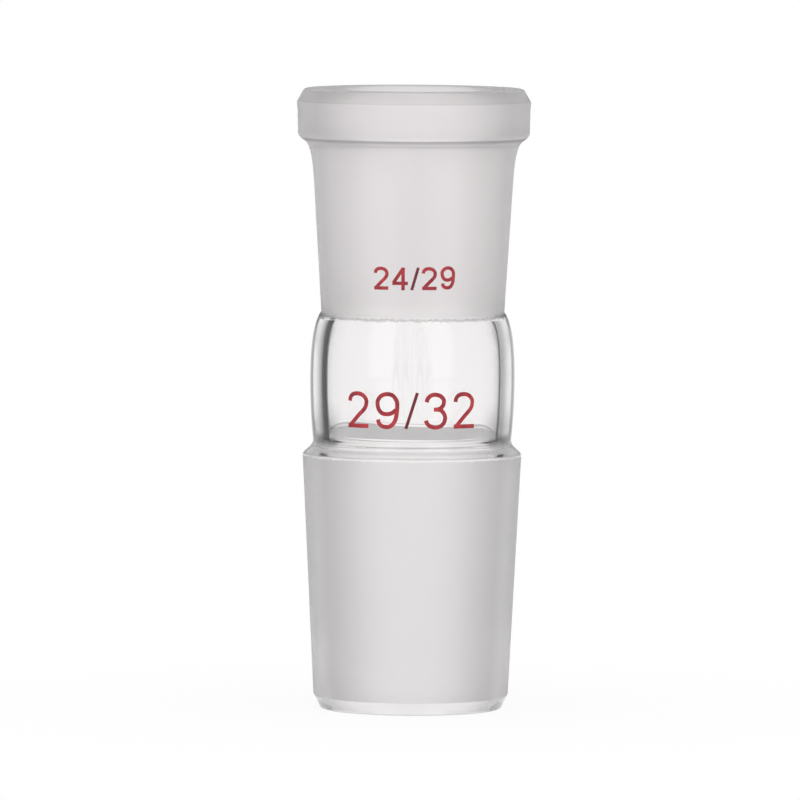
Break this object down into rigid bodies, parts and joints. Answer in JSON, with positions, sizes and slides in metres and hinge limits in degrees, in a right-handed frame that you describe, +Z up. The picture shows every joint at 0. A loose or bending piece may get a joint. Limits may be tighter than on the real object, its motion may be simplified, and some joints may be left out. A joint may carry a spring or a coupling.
{
  "type": "glass joint adapter",
  "caption": "Straight glass joint adapter: a ground socket above a clear barrel neck and a ground cone below, used to fit a smaller joint into a larger neck.",
  "frame": {"origin": "middle of the flat foot ring at the tip of the ground cone, on the axis", "axes": "+Z up along the common axis, from the cone's tip to the socket's mouth; -Y towards the side that carries the size numbers"},
  "size_m": [0.0312, 0.0312, 0.0828],
  "materials": {
    "glass": null,
    "red_enamel": "satin"
  },
  "bodies": {
    "root": {"adapter_body": "glass"}
  },
  "joints": []
}
